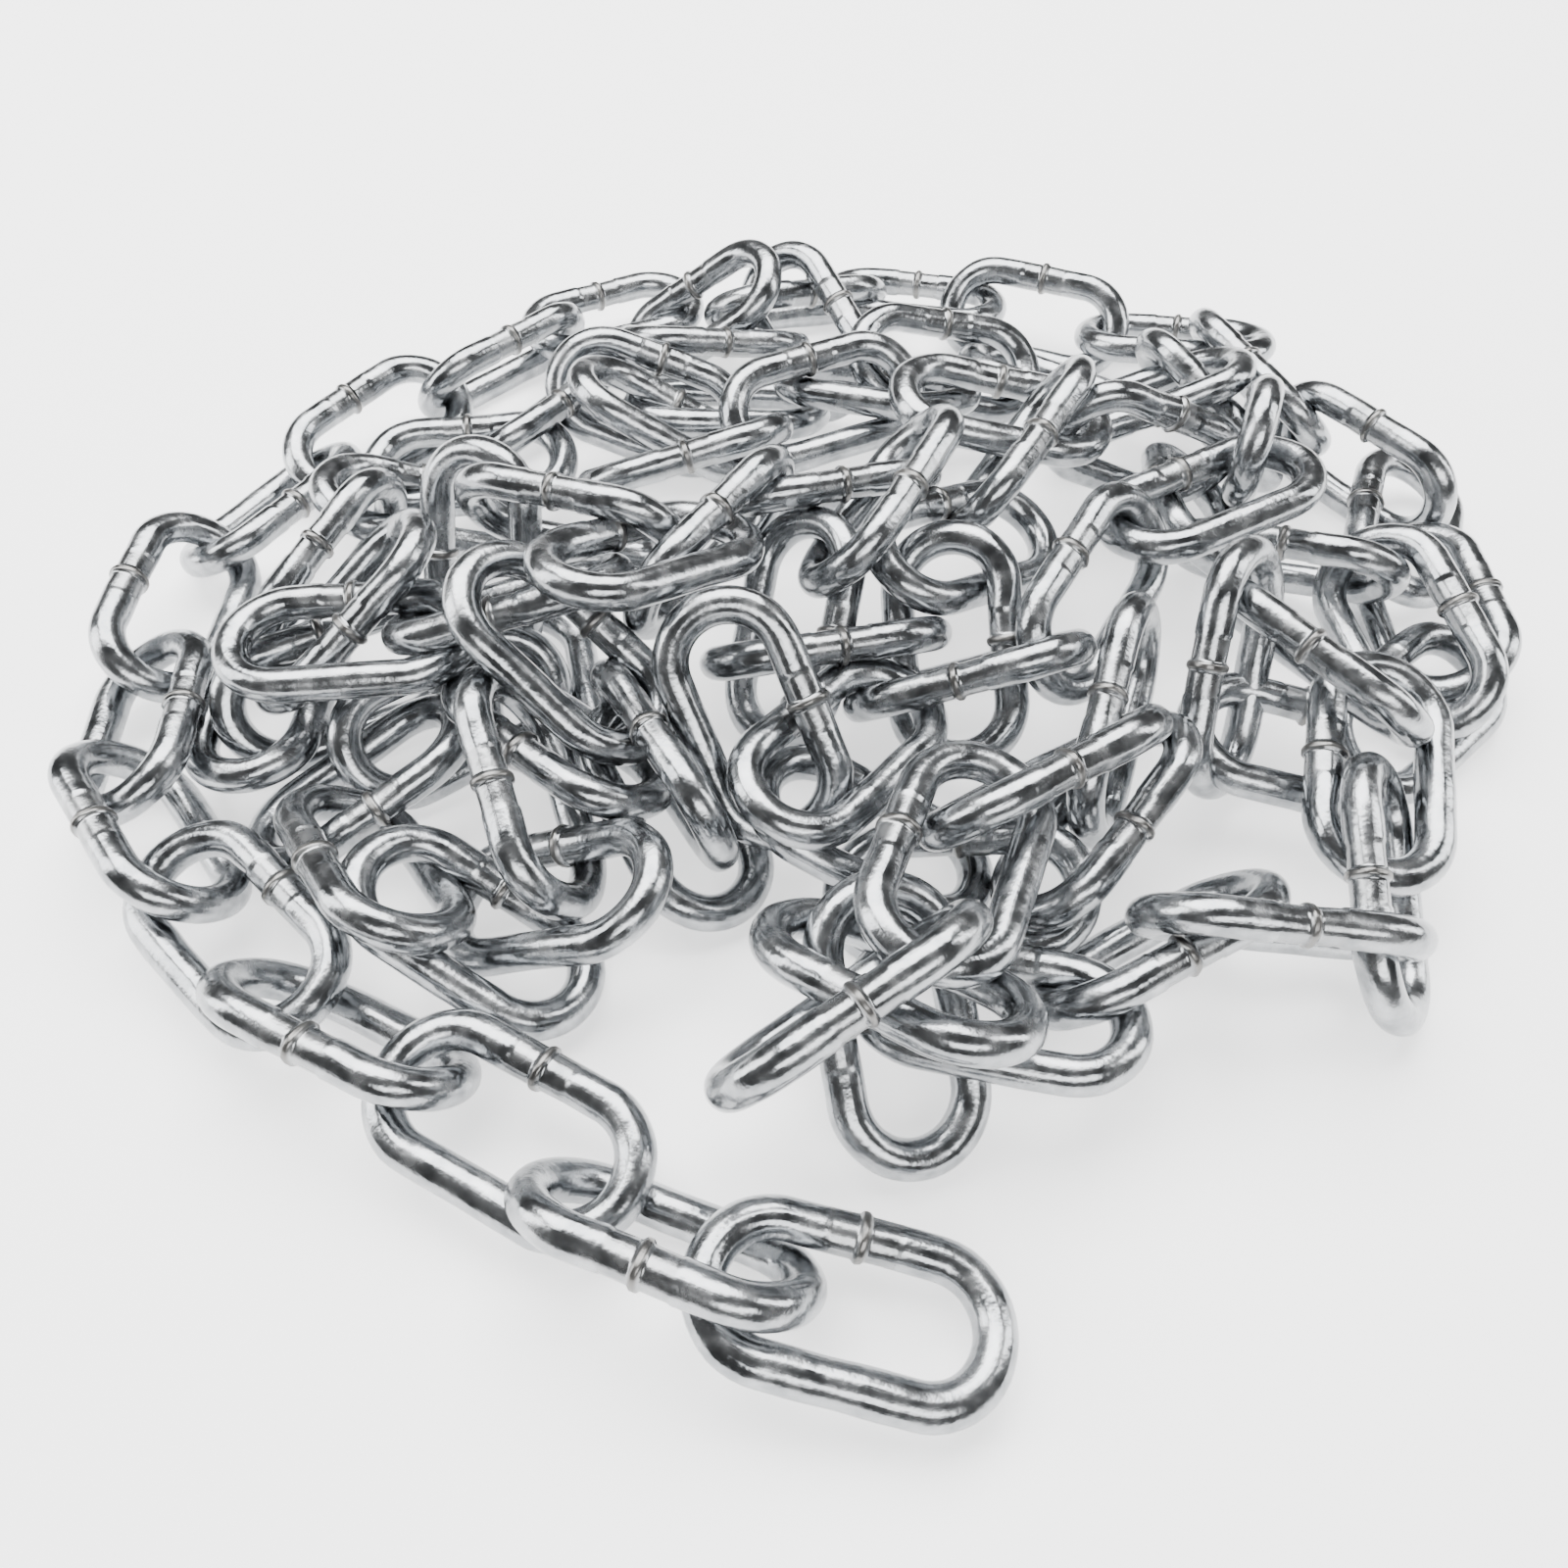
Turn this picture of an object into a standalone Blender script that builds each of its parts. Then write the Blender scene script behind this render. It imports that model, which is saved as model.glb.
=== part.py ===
"""A heap of one length of steel chain, lying as it was let down on a flat floor.

Every link is a closed loop of round bar. The links follow one another in one continuous run, from the
free end link at the front to the cut link under the right of the heap. Metres, +Z up, floor at z = 0,
front towards -Y.
"""
import math

import bpy
import bmesh
import numpy as np
from mathutils import Matrix, Vector

MM = 0.001

# One link, in millimetres: a welded oblong loop of round bar
WIRE = 5.0
LINK_LENGTH = 37.0
LINK_WIDTH = 20.5
BEND_RADIUS = (LINK_WIDTH - WIRE) / 2
HALF_BAR = (LINK_LENGTH - LINK_WIDTH) / 2
BEND_STEPS = 5

# The bar's section is a hexagon with a narrow flat above and below, so that a flat link lies on a face
FLAT_HALF_WIDTH = 0.9
SECTION = [
    (WIRE / 2, 0.0),
    (FLAT_HALF_WIDTH, WIRE / 2),
    (-FLAT_HALF_WIDTH, WIRE / 2),
    (-WIRE / 2, 0.0),
    (-FLAT_HALF_WIDTH, -WIRE / 2),
    (FLAT_HALF_WIDTH, -WIRE / 2),
]
EDGE_RADIUS = math.hypot(FLAT_HALF_WIDTH, WIRE / 2)
SIDE_FACE_RADIUS = WIRE ** 2 / 4 / math.hypot(WIRE / 2, WIRE / 2 - FLAT_HALF_WIDTH)

# Where the last link is cut, along it from its middle, in millimetres
CUT_AT = 1.7

# Distances between the centrelines of two bars that meet, in millimetres
CLEAR = 5.35
JOINED = 4.12

# Where the heap is seen from at the front, in millimetres, and how much less the links give across that sight line
EYE = (0.0, -115.0, 148.8)
ACROSS = 0.75

# How the links are nudged apart: square millimetres that set how readily a link turns, the share of a move
# that is taken at once and how it drops with the number of touches, the extra pull on two links of one solid,
# the overlap aimed at when bars have to change sides, and the slack left between links that hang together
TURNING = 110.0
EASE = 1.2
EASE_POWER = 0.7
JOINED_DRAW = 6.0
SIDE_CHANGE = 0.6
SLACK = 0.05

# Where each link lies, in chain order: centre x, y, z in millimetres, then heading, pitch and roll in degrees
PLACES = [
    # The free end and the run that curves round the left, by turns flat and leaning
    (7, -76, 5, -11, -8, -4),
    (-13, -69, 8, -19, 0, -50),
    (-32, -56, 7, -28, -1, 8),
    (-54, -44, 8, -24, 0, -50),
    (-70, -29, 7, -46, 2, 8),
    (-86, -14, 8, -52, 0, -45),
    (-92, 4, 7, -83, 3, 15),
    (-95, 29, 8, -95, -2, -40),
    (-85, 52, 6, 55, 0, -25),
    (-73, 74, 7, 51, 3, 12),
    (-51, 90, 9, 42, 0, -57),
    (-31, 109, 7, 20, 2, 2),
    # Along the back, with the two open links that stick out behind
    (-15, 102, 11, -3, 6, 20),
    (-17, 92, 14, 17, -4, -38),
    (6, 98, 11, -64, -12, 30),
    (-1, 113, 6, 13, 3, 0),
    (24, 118, 7, -8, -3, 0),
    (50, 110, 7, -31, 0, 0),
    (71, 93, 10, -8, 3, -33),
    # Down the right side and in again under the top
    (85, 78, 14, -70, -8, -38),
    (98, 56, 10, -50, -3, -65),
    (103, 50, 5, -115, -5, -15),
    (91, 27, 5, -92, 0, 5),
    (92, 6, 4, -150, 0, -15),
    (95, 20, 12, -61, -15, 15),
    (79, 34, 14, -15, -2, -45),
    (68, 46, 9, 80, 0, 15),
    (61, 53, 20, 25, -20, -75),
    # Over the top towards the middle
    (32, 51, 27, 0, -10, 15),
    (35, 42, 33, 45, 0, -50),
    (27, 26, 24, 22, 0, 5),
    (25, 9, 18, -92, -32, 0),
    (6, 8, 20, 14, 0, -45),
    (2, 18, 12, 60, 0, -50),
    (17, 31, 26, 46, 6, -40),
    (6, 38, 23, 38, 5, -45),
    (-13, 22, 26, 46, 0, -60),
    (-19, 16, 28, 40, -5, -20),
    (-31, 29, 25, -5, 3, -50),
    # The left half: under the top and out to the left
    (-46, 27, 14, -85, -20, 30),
    (-43, 14, 6, -60, 0, -20),
    (-47, 6, 8, 32, 3, 30),
    (-57, -6, 9, 35, 7, -15),
    (-51, -20, 11, -52, 0, -25),
    (-40, -30, 6, -15, -9, -12),
    (-30, -24, 9, 0, 8, 0),
    (-33, -14, 12, -76, -17, -45),
    (-33, 1, 13, -42, -6, -22),
    (-13, -14, 5, -78, -4, 0),
    (-19, -11, 13, -54, -5, -62),
    (-29, 5, 23, -40, -25, -18),
    (-38, 9, 21, 22, 8, -48),
    (-61, 12, 17, 0, 0, 8),
    (-61, 16, 19, 38, 22, -45),
    (-65, 12, 8, 15, 3, 15),
    (-76, 9, 5, -76, 0, 0),
    (-70, 33, 13, 45, 10, -58),
    (-58, 44, 13, 0, -10, -12),
    (-53, 58, 11, 3, 3, 15),
    # The left of the back
    (-41, 74, 14, 36, 2, -28),
    (-25, 71, 9, -10, -5, 25),
    (-9, 71, 17, -11, -4, -12),
    (-20, 58, 19, -14, -14, -28),
    (-15, 43, 25, 15, 2, -40),
    (6, 62, 24, 30, -3, 14),
    (15, 67, 17, -22, -3, -7),
    (29, 78, 19, -4, -11, 5),
    (48, 85, 13, -35, -1, -8),
    (63, 73, 12, 6, 2, -8),
    # The links that come forward over the middle, and the front
    (75, 76, 11, -80, 2, -60),
    (72, 53, 20, -95, 38, 75),
    (64, 33, 26, 28, -2, -14),
    (45, 19, 22, -121, -8, -55),
    (25, 4, 19, 12, 4, -19),
    (4, -11, 18, -138, -25, -8),
    (-5, -4, 19, -55, -39, 22),
    (13, -19, 11, -23, -4, -10),
    (25, -20, 5, 5, 0, 0),
    (42, -16, 8, 35, 3, -40),
    (45, 4, 13, 80, 10, 70),
    (34, -12, 16, 26, 14, -62),
    (22, -26, 18, 68, -2, 12),
    (6, -40, 13, 30, 10, -46),
    (17, -38, 8, -32, -2, -6),
    (13, -43, 5, -78, -4, 0),
    (26, -38, 4, -9, 0, 0),
    # Back along the right of the front to the cut end
    (46, -34, 11, -155, -11, 50),
    (60, -33, 13, -1, -4, -58),
    (79, -25, 10, -90, -17, -47),
    (79, -6, 10, -96, -9, -14),
    (76, 8, 16, -42, -17, -57),
    (61, 7, 17, -110, -40, -60),
    (67, -5, 9, -2, 0, 35),
]

# Links that lie mostly under others: they may move further from their places
HIDDEN = [15, 22, 26, 33, 39, 40, 60, 77, 78, 79]

# The free end link, then two links a solid, then the cut link
NODES = [(0, 0)] + [(link, link + 1) for link in range(1, len(PLACES) - 2, 2)]
NODES += [(link, link) for link in range(NODES[-1][1] + 1, len(PLACES))]

# The leaning link whose lower bar lies on the floor with a side face
BEDDED = 10

# Rounds, pull, draw, sink and longest step of each stage of settling, and whether that link is bedded down
STAGES = [
    (200, 0.05, 0.0, 0.0, 3.0, False),
    (300, 0.02, 0.1, 0.02, 2.0, False),
    (300, 0.02, 0.1, 0.02, 1.0, False),
    (300, 0.02, 0.1, 0.0, 0.5, True),
    (500, 0.0, 0.05, 0.0, 0.3, True),
]


def link_corners():
    """Corners of one link's centreline in its own plane, with its long axis along x."""
    corners = []
    for side in (1, -1):
        for step in range(BEND_STEPS + 1):
            angle = math.pi * step / BEND_STEPS - math.pi / 2
            along = side * (HALF_BAR + BEND_RADIUS * math.cos(angle))
            across = side * BEND_RADIUS * math.sin(angle)
            corners.append((along, across, 0.0))
    return np.array(corners)


def link_axes(heading, pitch, roll):
    """Axes of a placed link as matrix columns: long axis, width, and the normal of its opening."""
    heading, pitch, roll = np.radians([heading, pitch, roll])
    flat = math.cos(pitch)
    long_axis = np.array([math.cos(heading) * flat, math.sin(heading) * flat, math.sin(pitch)])
    side = np.array([-math.sin(heading), math.cos(heading), 0.0])
    width = side * math.cos(roll) + np.cross(long_axis, side) * math.sin(roll)
    return np.column_stack([long_axis, width, np.cross(long_axis, width)])


def small_turns(vectors):
    """Rotation matrices that turn by the length of each vector, about its direction."""
    angle = np.maximum(np.linalg.norm(vectors, axis=1), 1e-12)
    axis = vectors / angle[:, None]
    cross = np.zeros((len(vectors), 3, 3))
    cross[:, 0, 1] = -axis[:, 2]
    cross[:, 0, 2] = axis[:, 1]
    cross[:, 1, 2] = -axis[:, 0]
    cross -= cross.transpose(0, 2, 1)
    sine = np.sin(angle)[:, None, None]
    cosine = np.cos(angle)[:, None, None]
    return np.eye(3) + sine * cross + (1 - cosine) * (cross @ cross)


def nearest_points(start_a, end_a, start_b, end_b):
    """The nearest points of straight stretches a and b, for whole arrays of stretches."""
    along_a = end_a - start_a
    along_b = end_b - start_b
    between = start_a - start_b
    aa = (along_a * along_a).sum(-1)
    bb = (along_b * along_b).sum(-1)
    ab = (along_a * along_b).sum(-1)
    a_between = (along_a * between).sum(-1)
    b_between = (along_b * between).sum(-1)
    s = np.clip((ab * b_between - a_between * bb) / np.maximum(aa * bb - ab * ab, 1e-9), 0, 1)
    t = np.clip((ab * s + b_between) / bb, 0, 1)
    s = np.clip((ab * t - a_between) / aa, 0, 1)
    return start_a + s[..., None] * along_a, start_b + t[..., None] * along_b


def passes_through(corners, centre, axes, first, second):
    """For pairs of links: whether the second one's centreline threads the first one's opening."""
    local = np.einsum("pnk,pkl->pnl", corners[second] - centre[first][:, None], axes[first])
    following = np.roll(local, -1, 1)
    height = local[..., 2]
    next_height = following[..., 2]
    crosses = (height > 0) != (next_height > 0)
    fall = height - next_height
    share = height / np.where(np.abs(fall) < 1e-12, 1e-12, fall)
    spot = local[..., :2] + share[..., None] * (following - local)[..., :2]
    past_bar = np.maximum(np.abs(spot[..., 0]) - HALF_BAR, 0)
    inside = past_bar ** 2 + spot[..., 1] ** 2 < BEND_RADIUS ** 2
    return np.where(crosses & inside, np.sign(-fall), 0).sum(1) != 0


def settle(centre, axes, neighbours, distance, rounds, pull, home, mobility, draw, sink, longest_step, bedded):
    """Nudges the links until they clear one another, thread their neighbours and stand on the floor.

    pull draws each link back to where the one chosen for it is seen from the front, draw brings hanging
    neighbours into touch, and sink moves everything down along the sight line a little each round. A link
    gives way more easily along that line than across it. Places are rounded off after each round, so that
    the last digits of the sums, which differ from one computer to the next, never grow.
    """
    base = link_corners()
    count = len(centre)
    sight = np.array(EYE) - home[0]
    sight /= np.linalg.norm(sight, axis=1)[:, None]
    first_all, second_all = np.triu_indices(count, 1)
    for _ in range(rounds):
        corners = centre[:, None] + np.einsum("nk,pjk->pnj", base, axes)
        ends = np.roll(corners, -1, 1)
        near = np.linalg.norm(centre[first_all] - centre[second_all], axis=1) < LINK_LENGTH + 3
        near |= neighbours[first_all, second_all]
        first, second = first_all[near], second_all[near]
        on_first, on_second = nearest_points(
            corners[first][:, :, None], ends[first][:, :, None], corners[second][:, None], ends[second][:, None]
        )
        gap = np.linalg.norm(on_first - on_second, axis=-1)
        threaded = passes_through(corners, centre, axes, first, second)
        wanted = neighbours[first, second]
        right = threaded == wanted
        goal = distance[first, second]
        moves = []
        for axis in (2, 1):
            least = gap.min(axis)
            partner = gap.argmin(axis)
            tight = (least < goal[:, None]) & right[:, None]
            tight &= (least <= np.roll(least, 1, 1)) & (least <= np.roll(least, -1, 1))
            pair, spot = np.nonzero(tight)
            other = partner[pair, spot]
            place = (pair, spot, other) if axis == 2 else (pair, other, spot)
            moves.append((place, goal[pair] - gap[place], 1.0))
        closest = gap.reshape(len(first), -1).argmin(1)
        spots = (closest // len(base), closest % len(base))
        least = gap[np.arange(len(first)), spots[0], spots[1]]
        pair = np.nonzero(~right)[0]
        reach = np.minimum(least[pair] + SIDE_CHANGE * goal[pair], 2 * longest_step)
        moves.append(((pair, spots[0][pair], spots[1][pair]), reach, -1.0))
        pair = np.nonzero(right & wanted & (least > goal + SLACK))[0]
        held = np.where(goal[pair] == JOINED, JOINED_DRAW * draw, draw)
        moves.append(((pair, spots[0][pair], spots[1][pair]), held * (least[pair] - goal[pair]), -1.0))
        shift = np.zeros((count, 3))
        turn = np.zeros((count, 3))
        hits = np.zeros(count)
        for place, amount, sign in moves:
            a, b = first[place[0]], second[place[0]]
            on_a, on_b = on_first[place], on_second[place]
            normal = sign * (on_a - on_b) / np.maximum(gap[place], 1e-6)[:, None]
            arm_a = np.cross(on_a - centre[a], normal)
            arm_b = np.cross(on_b - centre[b], normal)
            give = mobility[a] * (1 + (arm_a ** 2).sum(1) / TURNING)
            give += mobility[b] * (1 + (arm_b ** 2).sum(1) / TURNING)
            share = amount / give
            np.add.at(shift, a, (share * mobility[a])[:, None] * normal)
            np.add.at(shift, b, -(share * mobility[b])[:, None] * normal)
            np.add.at(turn, a, (share * mobility[a] / TURNING)[:, None] * arm_a)
            np.add.at(turn, b, -(share * mobility[b] / TURNING)[:, None] * arm_b)
            np.add.at(hits, a, 1)
            np.add.at(hits, b, 1)
        ease = EASE / np.maximum(hits, 2) ** EASE_POWER
        shift *= ease[:, None]
        turn *= ease[:, None]
        shift = across_sight(shift, sight)
        turn = turn + (ACROSS - 1) * (turn * sight).sum(1)[:, None] * sight
        shift *= np.minimum(1, longest_step / np.maximum(np.linalg.norm(shift, axis=1), 1e-9))[:, None]
        away = home[1] @ axes.transpose(0, 2, 1)
        twist = [away[:, 2, 1] - away[:, 1, 2], away[:, 0, 2] - away[:, 2, 0], away[:, 1, 0] - away[:, 0, 1]]
        away_from_home = home[0] - centre
        shift += pull * (away_from_home - (away_from_home * sight).sum(1)[:, None] * sight)
        turn += pull / 2 * np.stack(twist, 1)
        shift -= sink * sight
        centre = centre + shift
        axes = small_turns(turn) @ axes
        centre, axes = stand_on_floor(centre, axes, base)
        if bedded:
            centre, axes = bed_down(centre, axes)
        centre, axes = rounded_off(centre, axes)
    return centre, axes


def across_sight(shift, sight):
    """Makes the part of each shift that runs across the sight line smaller."""
    along = (shift * sight).sum(1)[:, None] * sight
    return along + ACROSS * (shift - along)


def rounded_off(centre, axes):
    """Places on a grid of a ten-thousandth of a millimetre, and axes squared up from rounded ones."""
    centre = np.round(centre, 4)
    axes = np.round(axes, 6)
    long_axis = axes[..., 0] / np.linalg.norm(axes[..., 0], axis=1)[:, None]
    width = axes[..., 1] - (axes[..., 1] * long_axis).sum(1)[:, None] * long_axis
    width /= np.linalg.norm(width, axis=1)[:, None]
    return centre, np.stack([long_axis, width, np.cross(long_axis, width)], 2)


def stand_on_floor(centre, axes, base):
    """Lifts each link's lowest corner to the floor. A leaning bar touches it with an edge."""
    corners = centre[:, None] + np.einsum("nk,pjk->pnj", base, axes)
    corner = corners[..., 2].argmin(1)
    lowest = corners[..., 2].min(1)
    lean = np.minimum(1, corners[..., 2].max(1) - lowest)
    low = WIRE / 2 + (EDGE_RADIUS - WIRE / 2) * lean - lowest
    hit = low > 0
    arm = corners[np.arange(len(centre)), corner] - centre
    tip = np.stack([arm[:, 1], -arm[:, 0], np.zeros(len(centre))], 1)
    share = low / (1 + (tip ** 2).sum(1) / TURNING)
    centre[hit, 2] += share[hit]
    axes[hit] = small_turns(tip[hit] * (share[hit] / TURNING)[:, None]) @ axes[hit]
    return centre, axes


def bed_down(centre, axes):
    """Turns the bedded link so that a side face of its lower bar lies flat on the floor."""
    own = axes[BEDDED]
    lower_bar = -np.sign(own[2, 1])
    under_side = -np.sign(own[2, 2])
    outward = own @ np.array([0.0, lower_bar * WIRE / 2, under_side * (WIRE / 2 - FLAT_HALF_WIDTH)])
    outward /= np.linalg.norm(outward)
    turn = np.cross(outward, (0.0, 0.0, -1.0))
    sine = np.linalg.norm(turn)
    turn *= math.asin(min(1.0, sine)) / max(sine, 1e-12)
    axes[BEDDED] = small_turns(turn[None])[0] @ own
    centre[BEDDED, 2] = SIDE_FACE_RADIUS + BEND_RADIUS * abs(axes[BEDDED][2, 1])
    return centre, axes


def place_chain():
    """Centres in millimetres and axes of all the links, once they are settled."""
    count = len(PLACES)
    centre = np.array([place[:3] for place in PLACES], float)
    axes = np.array([link_axes(*place[3:]) for place in PLACES])
    home = (centre.copy(), axes.copy())
    neighbours = np.zeros((count, count), bool)
    distance = np.full((count, count), CLEAR)
    for link in range(count - 1):
        neighbours[link, link + 1] = neighbours[link + 1, link] = True
    for first, last in NODES:
        for link in range(first, last):
            distance[link, link + 1] = distance[link + 1, link] = JOINED
    mobility = np.ones(count)
    mobility[HIDDEN] = 4.0
    for rounds, pull, draw, sink, longest_step, bedded in STAGES:
        centre, axes = settle(
            centre, axes, neighbours, distance, rounds, pull, home, mobility, draw, sink, longest_step, bedded
        )
    return centre, axes


def steel(name):
    """Bright zinc-plated steel."""
    material = bpy.data.materials.new(name)
    material.use_nodes = True
    shader = material.node_tree.nodes["Principled BSDF"]
    shader.inputs["Base Color"].default_value = (0.58, 0.59, 0.6, 1.0)
    shader.inputs["Metallic"].default_value = 1.0
    shader.inputs["Roughness"].default_value = 0.2
    return material


def closed_curve(name, points, size):
    """A closed curve of straight stretches in its own plane, in metres."""
    curve = bpy.data.curves.new(name, "CURVE")
    curve.dimensions = "3D"
    spline = curve.splines.new("POLY")
    spline.points.add(len(points) - 1)
    for point, corner in zip(spline.points, points):
        point.co = (corner[0] * size, corner[1] * size, 0.0, 1.0)
    spline.use_cyclic_u = True
    return curve


def link_mesh(tools):
    """One link as a mesh: its section run round its centreline."""
    section = bpy.data.objects.new("link_section", closed_curve("link_section", SECTION, MM))
    curve = closed_curve("link_line", link_corners(), MM)
    curve.twist_mode = "Z_UP"
    curve.bevel_mode = "OBJECT"
    curve.bevel_object = section
    line = bpy.data.objects.new("link_line", curve)
    for guide in (section, line):
        tools.objects.link(guide)
        guide.hide_render = True
        guide.display_type = "WIRE"
    bpy.context.view_layer.update()
    evaluated = line.evaluated_get(bpy.context.evaluated_depsgraph_get())
    mesh = bpy.data.meshes.new_from_object(evaluated)
    mesh.name = "link"
    tidy = bmesh.new()
    tidy.from_mesh(mesh)
    bmesh.ops.remove_doubles(tidy, verts=tidy.verts, dist=0.00001)
    bmesh.ops.recalc_face_normals(tidy, faces=tidy.faces)
    tidy.to_mesh(mesh)
    tidy.free()
    for guide in (line, section):
        bpy.data.objects.remove(guide)
    return mesh


def placed_link(name, mesh, centre, axes, group):
    """A link as an object of its own, at its settled place."""
    link = bpy.data.objects.new(name, mesh)
    turn = Matrix([list(row) for row in axes]).to_4x4()
    link.matrix_world = Matrix.Translation(Vector(centre) * MM) @ turn
    group.objects.link(link)
    return link


def cut_through(piece, centre, axes, tools):
    """Cuts the last link across both bars, near the middle."""
    bpy.ops.mesh.primitive_cube_add(size=1)
    cutter = bpy.context.object
    cutter.name = "cut_link_cutter"
    for group in cutter.users_collection:
        group.objects.unlink(cutter)
    tools.objects.link(cutter)
    cutter.scale = Vector((LINK_LENGTH, 2 * LINK_WIDTH, 4 * WIRE)) * MM
    turn = Matrix([list(row) for row in axes])
    middle = Vector(centre) + turn @ Vector((CUT_AT + LINK_LENGTH / 2, 0.0, 0.0))
    cutter.location = middle * MM
    cutter.rotation_euler = turn.to_euler()
    cutter.hide_render = True
    cutter.display_type = "WIRE"
    cut = piece.modifiers.new("cut", "BOOLEAN")
    cut.operation = "DIFFERENCE"
    cut.solver = "EXACT"
    cut.object = cutter


def centred_on_floor(centre, axes, mesh):
    """Moves the heap so that the middle of its outline is over the origin."""
    points = np.array([vertex.co[:] for vertex in mesh.vertices]) / MM
    spread = (centre[:, None] + np.einsum("nk,pjk->pnj", points, axes)).reshape(-1, 3)
    middle = (spread.min(0) + spread.max(0)) / 2
    centre[:, :2] -= middle[:2]
    return centre


def build_chain():
    for old in list(bpy.data.objects):
        bpy.data.objects.remove(old)
    heap = bpy.data.collections.new("steel_chain_heap")
    tools = bpy.data.collections.new("cutters")
    for group in (heap, tools):
        bpy.context.scene.collection.children.link(group)
    mesh = link_mesh(tools)
    centre, axes = place_chain()
    centre = centred_on_floor(centre, axes, mesh)
    for first, last in NODES:
        name = f"chain_link_{first + 1:03d}" if first == last else f"chain_links_{first + 1:03d}_{last + 1:03d}"
        piece = placed_link(name, mesh.copy(), centre[first], axes[first], heap)
        piece.data.materials.append(steel(f"{name}_zinc_plate"))
        for link in range(first + 1, last + 1):
            second = placed_link(f"{name}_second", mesh, centre[link], axes[link], tools)
            second.hide_render = True
            second.display_type = "WIRE"
            union = piece.modifiers.new("joined", "BOOLEAN")
            union.operation = "UNION"
            union.solver = "EXACT"
            union.object = second
        if last == len(PLACES) - 1:
            cut_through(piece, centre[last], axes[last], tools)


build_chain()
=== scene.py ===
"""A heap of zinc-plated steel chain on a pale studio floor."""
import math

import bmesh
import bpy
import numpy as np
from mathutils import Matrix, Vector


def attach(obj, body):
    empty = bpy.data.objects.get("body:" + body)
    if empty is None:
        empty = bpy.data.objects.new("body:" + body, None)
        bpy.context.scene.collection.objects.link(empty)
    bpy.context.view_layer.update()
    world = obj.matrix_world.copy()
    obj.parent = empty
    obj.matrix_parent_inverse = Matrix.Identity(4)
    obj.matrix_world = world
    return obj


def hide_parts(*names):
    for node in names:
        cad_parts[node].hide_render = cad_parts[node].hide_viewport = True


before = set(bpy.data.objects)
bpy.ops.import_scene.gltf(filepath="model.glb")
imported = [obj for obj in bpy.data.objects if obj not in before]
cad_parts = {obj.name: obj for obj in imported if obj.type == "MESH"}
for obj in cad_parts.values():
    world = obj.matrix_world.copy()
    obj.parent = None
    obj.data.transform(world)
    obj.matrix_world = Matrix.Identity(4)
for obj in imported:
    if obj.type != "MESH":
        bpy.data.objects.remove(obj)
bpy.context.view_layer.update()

# The run of the chain. The solids are whole links with a six-sided bar, most of them fused two by two
# where they touch. Each link's place and turn is read from its solid, so that the round-bar links made
# below lie exactly where the solid ones do.
MM = 0.001
BAR_DIAMETER = 5.0 * MM
LINK_LENGTH = 37.0 * MM
LINK_WIDTH = 20.5 * MM
BEND_RADIUS = (LINK_WIDTH - BAR_DIAMETER) / 2
HALF_BAR = (LINK_LENGTH - LINK_WIDTH) / 2
SOLID_BEND_STEPS = 5
SOLID_FLAT_HALF_WIDTH = 0.9 * MM
WHOLE_LINK_AREA = 600 * MM * MM
MERGE_DISTANCE = 0.002 * MM
FOLD_ANGLE = 0.03
FITTING_ROUNDS = 12
CORNER_REACH = 1.5 * MM
CUT_NODE = max(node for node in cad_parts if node.startswith("chain_link_"))

# Most links lie with their weld on the upper bar, or on the one at the back if both lie flat
WELD_SIDE = (0.0, 0.35, 1.0)


def solid_link_corners():
    """Corners of a solid link's surface in its own frame, with its long axis along x."""
    corners = []
    radius = BAR_DIAMETER / 2
    section = [
        (radius, 0.0), (SOLID_FLAT_HALF_WIDTH, radius), (-SOLID_FLAT_HALF_WIDTH, radius),
        (-radius, 0.0), (-SOLID_FLAT_HALF_WIDTH, -radius), (SOLID_FLAT_HALF_WIDTH, -radius),
    ]
    for side in (1, -1):
        for step in range(SOLID_BEND_STEPS + 1):
            angle = math.pi * step / SOLID_BEND_STEPS - math.pi / 2
            for outward, up in section:
                reach = BEND_RADIUS + outward
                along = side * (HALF_BAR + reach * math.cos(angle))
                corners.append((along, side * reach * math.sin(angle), up))
    return np.array(corners)


def merged_solid(node):
    """The node's mesh with its loose triangles joined along their edges."""
    solid = bmesh.new()
    solid.from_mesh(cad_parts[node].data)
    bmesh.ops.remove_doubles(solid, verts=solid.verts, dist=MERGE_DISTANCE)
    solid.normal_update()
    return solid


def link_surfaces(solid):
    """The surfaces of the single links. Where two links are fused, they meet along inward edges only."""
    left = set(solid.faces)
    surfaces = []
    for first in solid.faces:
        if first not in left:
            continue
        left.remove(first)
        surface = [first]
        waiting = [first]
        while waiting:
            face = waiting.pop()
            for edge in face.edges:
                if len(edge.link_faces) != 2:
                    continue
                if not edge.is_convex and edge.calc_face_angle() > FOLD_ANGLE:
                    continue
                for other in edge.link_faces:
                    if other in left:
                        left.remove(other)
                        surface.append(other)
                        waiting.append(other)
        if sum(face.calc_area() for face in surface) > WHOLE_LINK_AREA:
            surfaces.append(surface)
    return surfaces


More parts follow.
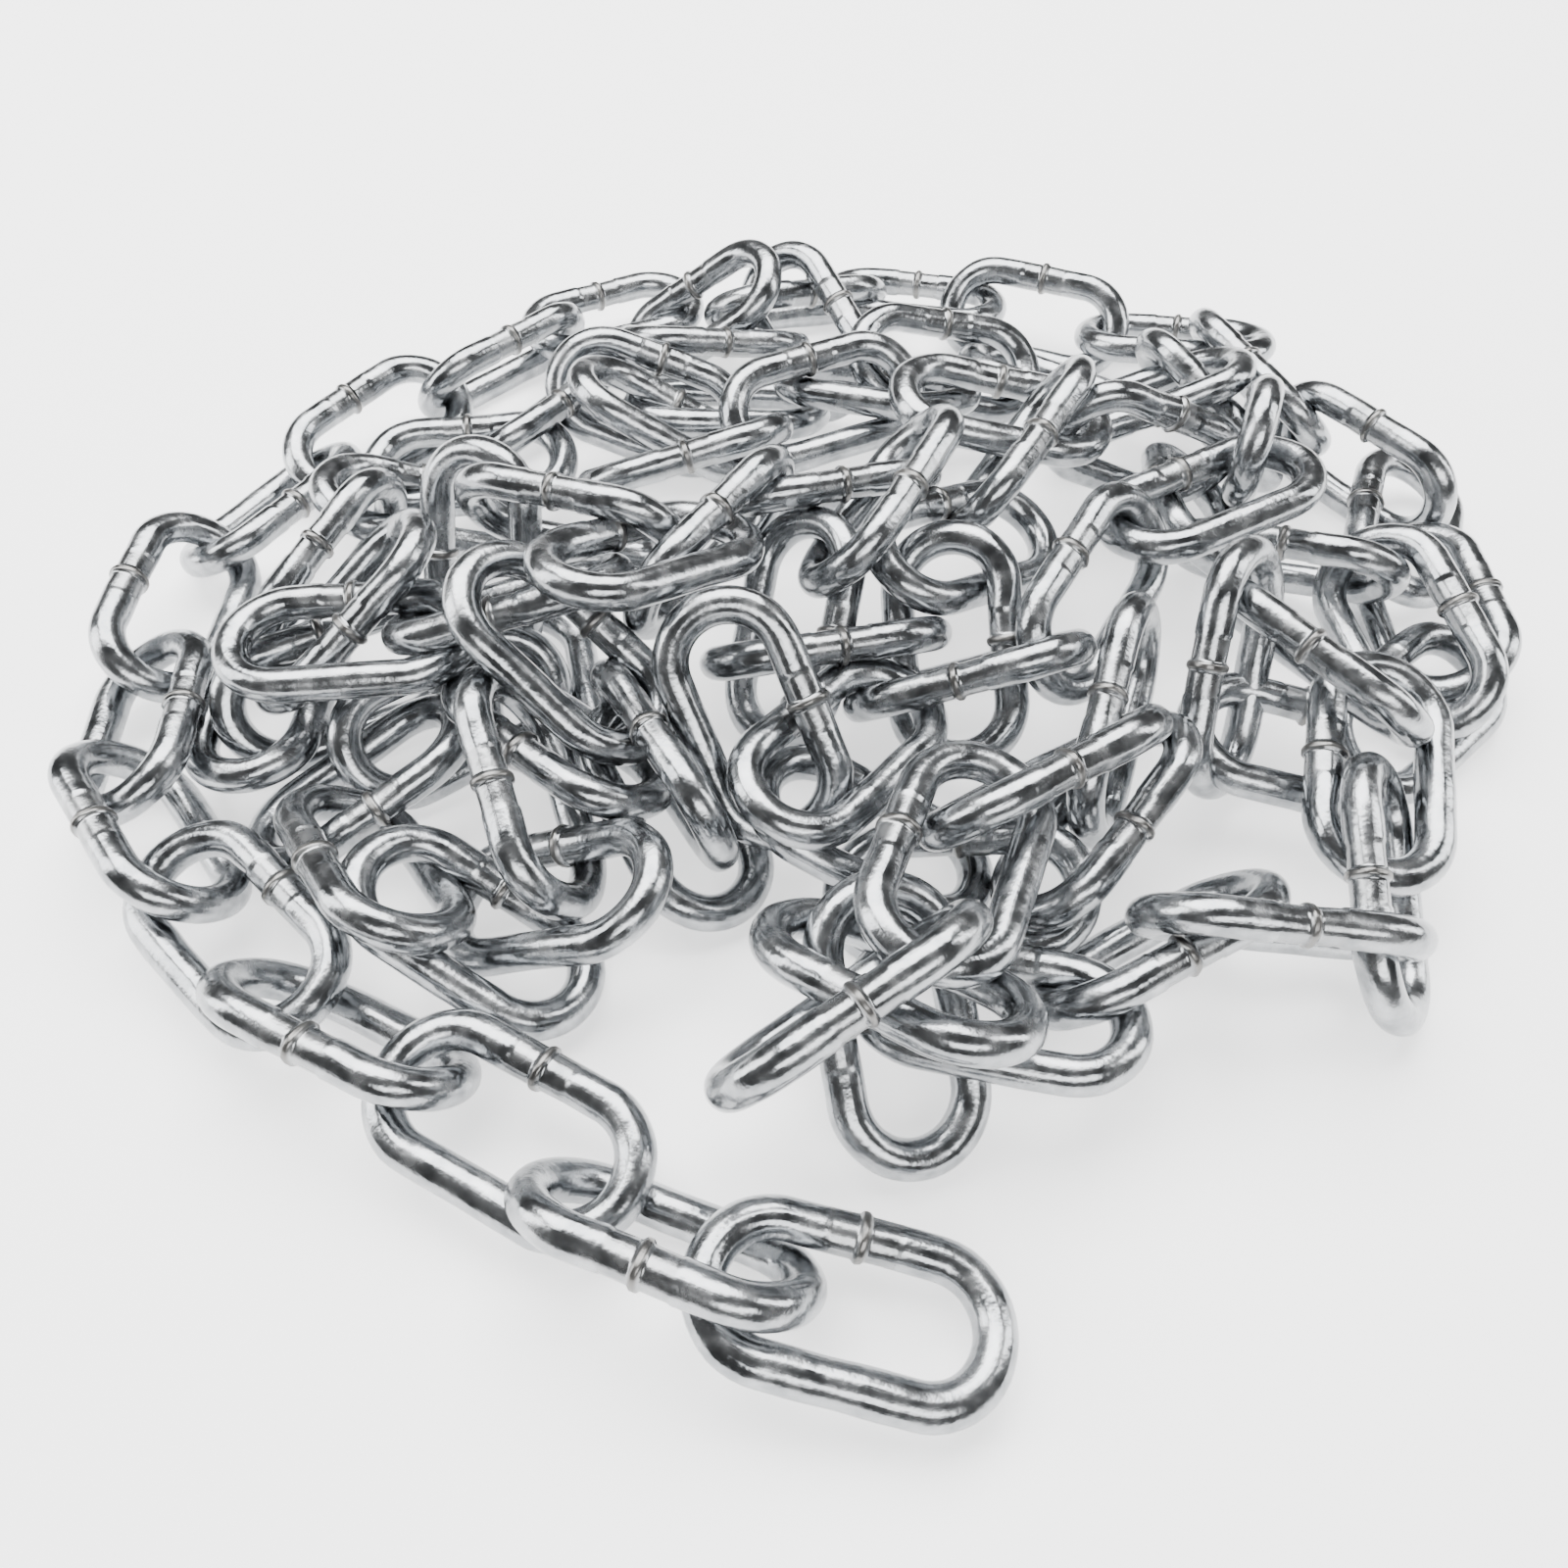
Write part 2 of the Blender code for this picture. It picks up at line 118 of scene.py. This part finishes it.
def spread_axes(surface):
    """Middle and axes (long, width, normal) of a link from how its surface is spread, and its corners."""
    middles = np.array([face.calc_center_median()[:] for face in surface])
    areas = np.array([face.calc_area() for face in surface])
    middle = (middles * areas[:, None]).sum(0) / areas.sum()
    away = middles - middle
    axes = np.linalg.eigh((away * areas[:, None]).T @ away)[1][:, ::-1]
    if np.linalg.det(axes) < 0:
        axes[:, 2] *= -1
    points = np.array([vert.co[:] for vert in {vert: 0 for face in surface for vert in face.verts}])
    along = points @ axes
    return axes @ ((along.min(0) + along.max(0)) / 2), axes, points


def closed_end_first(middle, axes, points):
    """Turns the cut link so that its closed bend is at -x, and puts its middle where the whole link's was."""
    along = (points - middle) @ axes
    near_end = 0.8 * along[:, 0].max()
    width_at_ends = [np.ptp(along[along[:, 0] * end > near_end, 1]) for end in (1, -1)]
    if width_at_ends[0] < width_at_ends[1]:
        axes = axes * [-1, -1, 1]
        along = along * [-1, -1, 1]
    return middle + axes[:, 0] * (along[:, 0].min() + LINK_LENGTH / 2), axes


def fitted(points, middle, axes, corners):
    """Turns and moves a link's own corners until they lie on the solid's corners."""
    for _ in range(FITTING_ROUNDS):
        placed = middle + corners @ axes.T
        gap = np.linalg.norm(placed[:, None] - points[None], axis=2)
        nearest = gap.argmin(1)
        close = gap[np.arange(len(placed)), nearest] < CORNER_REACH
        own, found = corners[close], points[nearest[close]]
        own_middle, found_middle = own.mean(0), found.mean(0)
        left, _, right = np.linalg.svd((own - own_middle).T @ (found - found_middle))
        axes = (left @ np.diag([1, 1, np.sign(np.linalg.det(left @ right))]) @ right).T
        middle = found_middle - axes @ own_middle
    return middle, axes


solid_corners = solid_link_corners()
run = {}
for node in sorted(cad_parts):
    solid = merged_solid(node)
    run[node] = []
    for surface in link_surfaces(solid):
        middle, axes, points = spread_axes(surface)
        own_corners = solid_corners
        if node == CUT_NODE:
            middle, axes = closed_end_first(middle, axes, points)
            own_corners = solid_corners[solid_corners[:, 0] < 0]
        middle, axes = fitted(points, middle, axes, own_corners)
        if axes[:, 1] @ WELD_SIDE < 0:
            axes = axes * [1, -1, -1]
        run[node].append((middle, axes))
    solid.free()


# Bright zinc plate. The links are drawn from round steel wire, bent and butt-welded, then barrel-plated
# with a thin coat of zinc. That leaves a near-mirror skin with fine lengthwise draw lines, small dents
# from tumbling, and a duller, slightly darker ring where the weld flash was plated over.
def linear(hex_colour):
    """An sRGB colour as the linear values that a shader takes."""
    parts = [int(hex_colour[i:i + 2], 16) / 255 for i in (1, 3, 5)]
    return [p / 12.92 if p <= 0.04045 else ((p + 0.055) / 1.055) ** 2.4 for p in parts] + [1.0]


def add_node(tree, kind, place, settings=None, links=None):
    """Adds a node with its settings, sets its input values, and links its inputs."""
    node = tree.nodes.new(kind)
    node.location = (place[0] * 180, place[1] * 160)
    for name, value in (settings or {}).items():
        setattr(node, name, value)
    for name, value in (links or {}).items():
        socket = node.inputs[name]
        if isinstance(value, bpy.types.NodeSocket):
            tree.links.new(value, socket)
        else:
            socket.default_value = value
    return node


def zinc_plate():
    """Zinc over steel: bright, slightly cool, with draw lines and a soft mottle."""
    material = bpy.data.materials.new("bright_zinc_plate")
    material.use_nodes = True
    tree = material.node_tree
    shader = tree.nodes["Principled BSDF"]
    shader.inputs["Metallic"].default_value = 1.0
    place = add_node(tree, "ShaderNodeTexCoord", (-8, 0)).outputs["Object"]
    along = add_node(tree, "ShaderNodeAttribute", (-8, -3), {"attribute_name": "bar_place"}).outputs["Vector"]
    weld = add_node(tree, "ShaderNodeAttribute", (-8, -5), {"attribute_name": "weld"}).outputs["Fac"]
    # Mottle of the plating, about 3 mm across
    mottle = add_node(
        tree, "ShaderNodeTexNoise", (-6, 2), {}, {"Vector": place, "Scale": 1 / (3 * MM), "Detail": 4.0},
    ).outputs["Fac"]
    # Draw lines: about 0.5 mm apart around the bar and many times longer along it
    lines = add_node(
        tree, "ShaderNodeTexNoise", (-6, -2), {}, {"Vector": along, "Scale": 1 / (0.5 * MM), "Detail": 3.0},
    ).outputs["Fac"]
    # Dents from tumbling, about 1.2 mm across
    dents = add_node(
        tree, "ShaderNodeTexNoise", (-6, 0), {}, {"Vector": place, "Scale": 1 / (1.2 * MM), "Detail": 2.0},
    ).outputs["Fac"]
    tone = add_node(tree, "ShaderNodeValToRGB", (-4, 2), {}, {"Fac": mottle})
    tone.color_ramp.elements[0].position = 0.3
    tone.color_ramp.elements[0].color = linear("#85888B")
    tone.color_ramp.elements[1].position = 0.7
    tone.color_ramp.elements[1].color = linear("#B2B4B6")
    burnt = add_node(tree, "ShaderNodeMix", (-2, 2), {"data_type": "RGBA"}, {"Factor": weld})
    tree.links.new(tone.outputs["Color"], burnt.inputs[6])
    burnt.inputs[7].default_value = linear("#767573")
    tree.links.new(burnt.outputs[2], shader.inputs["Base Color"])
    rough = add_node(
        tree, "ShaderNodeMapRange", (-4, 0), {},
        {"Value": mottle, "From Min": 0.3, "From Max": 0.7, "To Min": 0.14, "To Max": 0.3},
    ).outputs["Result"]
    rough_weld = add_node(
        tree, "ShaderNodeMath", (-2, 0), {"operation": "MULTIPLY_ADD"}, {0: weld, 1: 0.12, 2: rough},
    ).outputs[0]
    tree.links.new(rough_weld, shader.inputs["Roughness"])
    draw = add_node(
        tree, "ShaderNodeBump", (-3, -2), {}, {"Height": lines, "Strength": 0.4, "Distance": 0.05 * MM},
    ).outputs["Normal"]
    dent = add_node(
        tree, "ShaderNodeBump", (-2, -2), {},
        {"Height": dents, "Strength": 0.5, "Distance": 0.12 * MM, "Normal": draw},
    ).outputs["Normal"]
    tree.links.new(dent, shader.inputs["Normal"])
    return material


zinc = zinc_plate()


# The links. Each is a closed oblong loop of 5 mm round wire: two straight bars and two half-round
# bends. The wire's ends are butt-welded in the middle of one bar, which leaves a thin raised ring of
# flash, with the shallow flats of the welding clamps on either side of it.
RINGS = 128
BAR_SIDES = 24
CROWDING = 0.82


def link_tree(material):
    """Geometry Nodes that put one link at each point, turned by the point's own axes."""
    tree = bpy.data.node_groups.new("chain_links", "GeometryNodeTree")
    face = tree.interface
    face.new_socket("Geometry", in_out="OUTPUT", socket_type="NodeSocketGeometry")
    face.new_socket("Geometry", in_out="INPUT", socket_type="NodeSocketGeometry")
    sizes = {
        "Bar diameter": BAR_DIAMETER, "Link length": LINK_LENGTH, "Link width": LINK_WIDTH,
        "Flash height": 0.42 * MM, "Flash half width": 0.6 * MM,
        "Clamp depth": 0.16 * MM, "Clamp half length": 4.3 * MM,
    }
    for name, value in sizes.items():
        socket = face.new_socket(name, in_out="INPUT", socket_type="NodeSocketFloat")
        socket.subtype = "DISTANCE"
        socket.default_value = value
    for name, value in {"Rings": RINGS, "Bar sides": BAR_SIDES}.items():
        socket = face.new_socket(name, in_out="INPUT", socket_type="NodeSocketInt")
        socket.default_value = value
    given = tree.nodes.new("NodeGroupInput").outputs
    result = tree.nodes.new("NodeGroupOutput")

    def math_node(operation, *values):
        node = add_node(tree, "ShaderNodeMath", (0, 0), {"operation": operation}, dict(enumerate(values)))
        return node.outputs[0]

    def named(kind, name):
        node = add_node(tree, "GeometryNodeInputNamedAttribute", (0, 0), {"data_type": kind}, {"Name": name})
        return node.outputs["Attribute"]

    # The centreline: a rectangle whose corners are rounded until its ends are half circles
    radius = math_node("MULTIPLY", given["Bar diameter"], 0.5)
    length = math_node("SUBTRACT", given["Link length"], given["Bar diameter"])
    width = math_node("SUBTRACT", given["Link width"], given["Bar diameter"])
    loop = add_node(
        tree, "GeometryNodeCurvePrimitiveQuadrilateral", (0, 0), {}, {"Width": length, "Height": width},
    )
    rounded = add_node(
        tree, "GeometryNodeFilletCurve", (0, 0), {"mode": "POLY"},
        {"Curve": loop.outputs[0], "Count": 40, "Radius": math_node("MULTIPLY", width, 0.4999)},
    )
    # Rings of the bar, crowded together at the weld, a quarter of the way round the loop
    rings = add_node(
        tree, "GeometryNodeResampleCurve", (0, 0), {"mode": "COUNT"},
        {"Curve": rounded.outputs[0], "Count": given["Rings"]},
    )
    step = math_node("DIVIDE", add_node(tree, "GeometryNodeInputIndex", (0, 0)).outputs[0], given["Rings"])
    wave_along = math_node("SINE", math_node("MULTIPLY", step, 2 * math.pi))
    bunched = math_node("MULTIPLY", wave_along, -CROWDING / (2 * math.pi))
    share = math_node("FRACT", math_node("ADD", math_node("ADD", step, bunched), 0.25))
    sample = add_node(
        tree, "GeometryNodeSampleCurve", (0, 0), {"mode": "FACTOR", "use_all_curves": True},
        {"Curves": rounded.outputs[0], "Factor": share},
    )
    placed = add_node(
        tree, "GeometryNodeSetPosition", (0, 0), {},
        {"Geometry": rings.outputs[0], "Position": sample.outputs["Position"]},
    )
    # How far each ring is from the weld, and how far along the bar
    position = add_node(tree, "GeometryNodeInputPosition", (0, 0)).outputs[0]
    spot = add_node(tree, "ShaderNodeSeparateXYZ", (0, 0), {}, {"Vector": position})
    welded_bar = math_node("GREATER_THAN", spot.outputs["Y"], math_node("MULTIPLY", width, 0.499))
    from_weld = math_node("ABSOLUTE", spot.outputs["X"])
    widths_away = math_node("DIVIDE", from_weld, given["Flash half width"])
    ring_shape = math_node("EXPONENT", math_node("MULTIPLY", math_node("POWER", widths_away, 4), -1))
    flash = math_node("MULTIPLY", ring_shape, welded_bar)
    clamp_edge = add_node(
        tree, "ShaderNodeMapRange", (0, 0), {"interpolation_type": "SMOOTHSTEP"},
        {"Value": from_weld, "From Min": math_node("SUBTRACT", given["Clamp half length"], 0.35 * MM),
         "From Max": given["Clamp half length"], "To Min": 1.0, "To Max": 0.0},
    )
    clamped = math_node("MULTIPLY", clamp_edge.outputs["Result"], welded_bar)
    geometry = placed.outputs[0]
    both_bars = math_node("MULTIPLY", math_node("SUBTRACT", length, width), 2)
    whole_loop = math_node("ADD", both_bars, math_node("MULTIPLY", width, math.pi))
    arc = math_node("MULTIPLY", share, whole_loop)
    for name, value in {"flash": flash, "clamped": clamped, "arc": arc}.items():
        store = add_node(
            tree, "GeometryNodeStoreNamedAttribute", (0, 0), {"data_type": "FLOAT", "domain": "POINT"},
            {"Geometry": geometry, "Name": name, "Value": value},
        )
        geometry = store.outputs[0]
    section = add_node(
        tree, "GeometryNodeCurvePrimitiveCircle", (0, 0), {},
        {"Resolution": given["Bar sides"], "Radius": radius},
    )
    corner = add_node(tree, "GeometryNodeInputIndex", (0, 0)).outputs[0]
    turn_share = math_node("DIVIDE", corner, given["Bar sides"])
    section = add_node(
        tree, "GeometryNodeStoreNamedAttribute", (0, 0), {"data_type": "FLOAT", "domain": "POINT"},
        {"Geometry": section.outputs[0], "Name": "around", "Value": turn_share},
    )
    bar = add_node(
        tree, "GeometryNodeCurveToMesh", (0, 0), {}, {"Curve": geometry, "Profile Curve": section.outputs[0]},
    )
    # The flash stands out from the bar, unevenly, and the clamps press it flat from both sides
    offset_noise = add_node(
        tree, "ShaderNodeTexNoise", (0, 0), {},
        {"Scale": 1 / (1.6 * MM), "Detail": 2.0},
    ).outputs["Fac"]
    rise = math_node("ADD", math_node("MULTIPLY", offset_noise, 1.6), 0.2)
    uneven = math_node("MULTIPLY", rise, given["Flash height"])
    normal = add_node(tree, "GeometryNodeInputNormal", (0, 0)).outputs[0]
    up = add_node(tree, "ShaderNodeSeparateXYZ", (0, 0), {}, {"Vector": normal}).outputs["Z"]
    press = add_node(
        tree, "ShaderNodeMapRange", (0, 0), {"interpolation_type": "SMOOTHSTEP"},
        {"Value": math_node("ABSOLUTE", up), "From Min": 0.45, "From Max": 0.8,
         "To Min": 0.0, "To Max": -1.0},
    )
    depth = math_node("MULTIPLY", press.outputs["Result"], given["Clamp depth"])
    pressed = math_node("MULTIPLY", depth, named("FLOAT", "clamped"))
    raised = math_node("MULTIPLY", uneven, named("FLOAT", "flash"))
    height = math_node("ADD", raised, pressed)
    offset = add_node(
        tree, "ShaderNodeVectorMath", (0, 0), {"operation": "SCALE"}, {0: normal, "Scale": height},
    ).outputs[0]
    shaped = add_node(
        tree, "GeometryNodeSetPosition", (0, 0), {}, {"Geometry": bar.outputs[0], "Offset": offset},
    )
    # One link at each point of the run
    turn = add_node(
        tree, "FunctionNodeAxesToRotation", (0, 0), {"primary_axis": "X", "secondary_axis": "Y"},
        {"Primary Axis": named("FLOAT_VECTOR", "long_axis"),
         "Secondary Axis": named("FLOAT_VECTOR", "width_axis")},
    )
    links = add_node(
        tree, "GeometryNodeInstanceOnPoints", (0, 0), {},
        {"Points": given["Geometry"], "Instance": shaped.outputs[0], "Rotation": turn.outputs[0]},
    )
    real = add_node(tree, "GeometryNodeRealizeInstances", (0, 0), {}, {"Geometry": links.outputs[0]})
    # Every bar is a little uneven from bending and tumbling
    wave = add_node(
        tree, "ShaderNodeTexNoise", (0, 0), {}, {"Scale": 1 / (9 * MM), "Detail": 1.0},
    ).outputs["Color"]
    centred = add_node(
        tree, "ShaderNodeVectorMath", (0, 0), {"operation": "SUBTRACT"}, {0: wave, 1: (0.5, 0.5, 0.5)},
    ).outputs[0]
    drift = add_node(
        tree, "ShaderNodeVectorMath", (0, 0), {"operation": "SCALE"}, {0: centred, "Scale": 0.5 * MM},
    ).outputs[0]
    uneven_bars = add_node(
        tree, "GeometryNodeSetPosition", (0, 0), {}, {"Geometry": real.outputs[0], "Offset": drift},
    )
    smooth = add_node(tree, "GeometryNodeSetShadeSmooth", (0, 0), {}, {"Geometry": uneven_bars.outputs[0]})
    # Where each corner is along and around the bar, drawn out 25 times along it for the draw lines
    round_the_bar = math_node("MULTIPLY", named("FLOAT", "around"), 2 * math.pi)
    combined = add_node(
        tree, "ShaderNodeCombineXYZ", (0, 0), {},
        {"X": math_node("MULTIPLY", named("FLOAT", "arc"), 0.04),
         "Y": math_node("MULTIPLY", math_node("COSINE", round_the_bar), radius),
         "Z": math_node("MULTIPLY", math_node("SINE", round_the_bar), radius)},
    )
    store = add_node(
        tree, "GeometryNodeStoreNamedAttribute", (0, 0), {"data_type": "FLOAT_VECTOR", "domain": "POINT"},
        {"Geometry": smooth.outputs[0], "Name": "bar_place", "Value": combined.outputs[0]},
    )
    near_clamp = math_node("MULTIPLY", named("FLOAT", "clamped"), 0.25)
    near_weld = math_node("MAXIMUM", named("FLOAT", "flash"), near_clamp)
    store = add_node(
        tree, "GeometryNodeStoreNamedAttribute", (0, 0), {"data_type": "FLOAT", "domain": "POINT"},
        {"Geometry": store.outputs[0], "Name": "weld", "Value": near_weld},
    )
    coated = add_node(
        tree, "GeometryNodeSetMaterial", (0, 0), {}, {"Geometry": store.outputs[0], "Material": material},
    )
    tree.links.new(coated.outputs[0], result.inputs[0])
    return tree


links_tree = link_tree(zinc)


def round_links(name, places):
    """The round-bar links at these places, as one plain mesh."""
    points = bpy.data.meshes.new(name)
    points.from_pydata([tuple(middle) for middle, axes in places], [], [])
    for attribute, column in (("long_axis", 0), ("width_axis", 1)):
        layer = points.attributes.new(attribute, "FLOAT_VECTOR", "POINT")
        for index, (middle, axes) in enumerate(places):
            layer.data[index].vector = axes[:, column]
    holder = bpy.data.objects.new(name, points)
    bpy.context.scene.collection.objects.link(holder)
    modifier = holder.modifiers.new("links", "NODES")
    modifier.node_group = links_tree
    evaluated = holder.evaluated_get(bpy.context.evaluated_depsgraph_get())
    mesh = bpy.data.meshes.new_from_object(evaluated)
    mesh.name = name
    # The unevenness pushes no bar below the floor
    for vert in mesh.vertices:
        vert.co.z = max(vert.co.z, 0.0)
    holder.modifiers.clear()
    holder.data = mesh
    return holder


# The cut link. It is parted across both bars a little to one side of its middle, which leaves two stub
# ends with flat faces and a rounded rim.
CUT_AT = 1.7 * MM
RIM = 0.35 * MM


def cut_across(piece, middle, axes):
    """Takes away the part of a link past the cut, closes both bars there and breaks the sharp rim."""
    mesh = bmesh.new()
    mesh.from_mesh(piece.data)
    along = Vector(axes[:, 0])
    face_middle = Vector(middle) + along * CUT_AT
    everything = mesh.verts[:] + mesh.edges[:] + mesh.faces[:]
    cut = bmesh.ops.bisect_plane(
        mesh, geom=everything, dist=0.0001 * MM, plane_co=face_middle - along * RIM, plane_no=along,
        clear_outer=True,
    )
    rims = [edge for edge in cut["geom_cut"] if isinstance(edge, bmesh.types.BMEdge)]
    for step in (0.35, 0.7, 1.0):
        grown = bmesh.ops.extrude_edge_only(mesh, edges=rims)["geom"]
        verts = [part for part in grown if isinstance(part, bmesh.types.BMVert)]
        rims = [part for part in grown if isinstance(part, bmesh.types.BMEdge)]
        for vert in verts:
            reach = (vert.co - Vector(middle)).dot(along)
            across = vert.co - Vector(middle) - along * reach
            side = Vector(axes[:, 1]) * math.copysign(BEND_RADIUS, across.dot(Vector(axes[:, 1])))
            spoke = (across - side).normalized()
            radius = BAR_DIAMETER / 2 - (1 - math.sqrt(1 - step ** 2)) * RIM
            vert.co = Vector(middle) + along * (CUT_AT - RIM + RIM * step) + side + spoke * radius
    caps = bmesh.ops.edgeloop_fill(mesh, edges=rims)["faces"]
    for cap in caps:
        cap.smooth = False
    mesh.to_mesh(piece.data)
    mesh.free()


for node, places in run.items():
    piece = round_links(f"round_{node}", places)
    if node == CUT_NODE:
        cut_across(piece, *places[0])
    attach(piece, "root")
    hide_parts(node)

# Floor, light and camera: a pale ground that glows a little, a wide soft box overhead, smaller ones at the
# front and sides, and a dim grey surround. They give the plating its white tops and its dark streaks.
FLOOR_COLOUR = "#FFFFFF"
FLOOR_GLOW = 1.2
FLOOR_REACH = 4.0
SURROUND = (0.13, 0.13, 0.13, 1.0)
floor_mesh = bpy.data.meshes.new("pale_floor")
floor_corners = [(x * FLOOR_REACH, y * FLOOR_REACH, 0) for x, y in ((-1, -1), (1, -1), (1, 1), (-1, 1))]
floor_mesh.from_pydata(floor_corners, [], [(0, 1, 2, 3)])
floor = bpy.data.objects.new("pale_floor", floor_mesh)
bpy.context.scene.collection.objects.link(floor)
paper = bpy.data.materials.new("matt_white_paper")
paper.use_nodes = True
paper_shader = paper.node_tree.nodes["Principled BSDF"]
paper_shader.inputs["Base Color"].default_value = linear(FLOOR_COLOUR)
paper_shader.inputs["Roughness"].default_value = 0.9
paper_shader.inputs["Emission Color"].default_value = linear(FLOOR_COLOUR)
paper_shader.inputs["Emission Strength"].default_value = FLOOR_GLOW
floor_mesh.materials.append(paper)

FOCAL_PIXELS = 1300
PHOTO_PIXELS = 1600
SENSOR = 36.0
ELEVATION = math.radians(52.3)
DISTANCE = 188 * MM
AIM = Vector((-7.06, -19.53, 0.0)) * MM
camera_data = bpy.data.cameras.new("photo_camera")
camera_data.sensor_width = SENSOR
camera_data.lens = SENSOR * FOCAL_PIXELS / PHOTO_PIXELS
camera_data.clip_start = 0.01
camera = bpy.data.objects.new("photo_camera", camera_data)
bpy.context.scene.collection.objects.link(camera)
camera.location = AIM + DISTANCE * Vector((0, -math.cos(ELEVATION), math.sin(ELEVATION)))
camera.rotation_euler = (math.pi / 2 - ELEVATION, 0, 0)
bpy.context.scene.camera = camera


def soft_box(name, location, width, height, power, colour="#FFFFFF"):
    """A soft rectangular light that faces the heap."""
    light = bpy.data.lights.new(name, "AREA")
    light.shape = "RECTANGLE"
    light.size = width
    light.size_y = height
    light.energy = power
    light.color = linear(colour)[:3]
    lamp = bpy.data.objects.new(name, light)
    bpy.context.scene.collection.objects.link(lamp)
    lamp.location = location
    lamp.rotation_euler = (Vector((0, 0, 0)) - Vector(location)).to_track_quat("-Z", "Y").to_euler()
    return lamp


soft_box("overhead_soft_box", (-0.1, 0.4, 0.9), 1.1, 0.8, 30.0)
soft_box("front_soft_box", (0.2, -0.8, 0.7), 0.9, 0.35, 7.0)
soft_box("left_soft_box", (-0.9, 0.0, 0.45), 0.4, 0.9, 9.0)
soft_box("right_soft_box", (0.9, 0.1, 0.5), 0.25, 0.8, 5.0)
world = bpy.data.worlds.new("studio")
bpy.context.scene.world = world
world.use_nodes = True
world.node_tree.nodes["Background"].inputs["Color"].default_value = SURROUND
world.node_tree.nodes["Background"].inputs["Strength"].default_value = 1.0
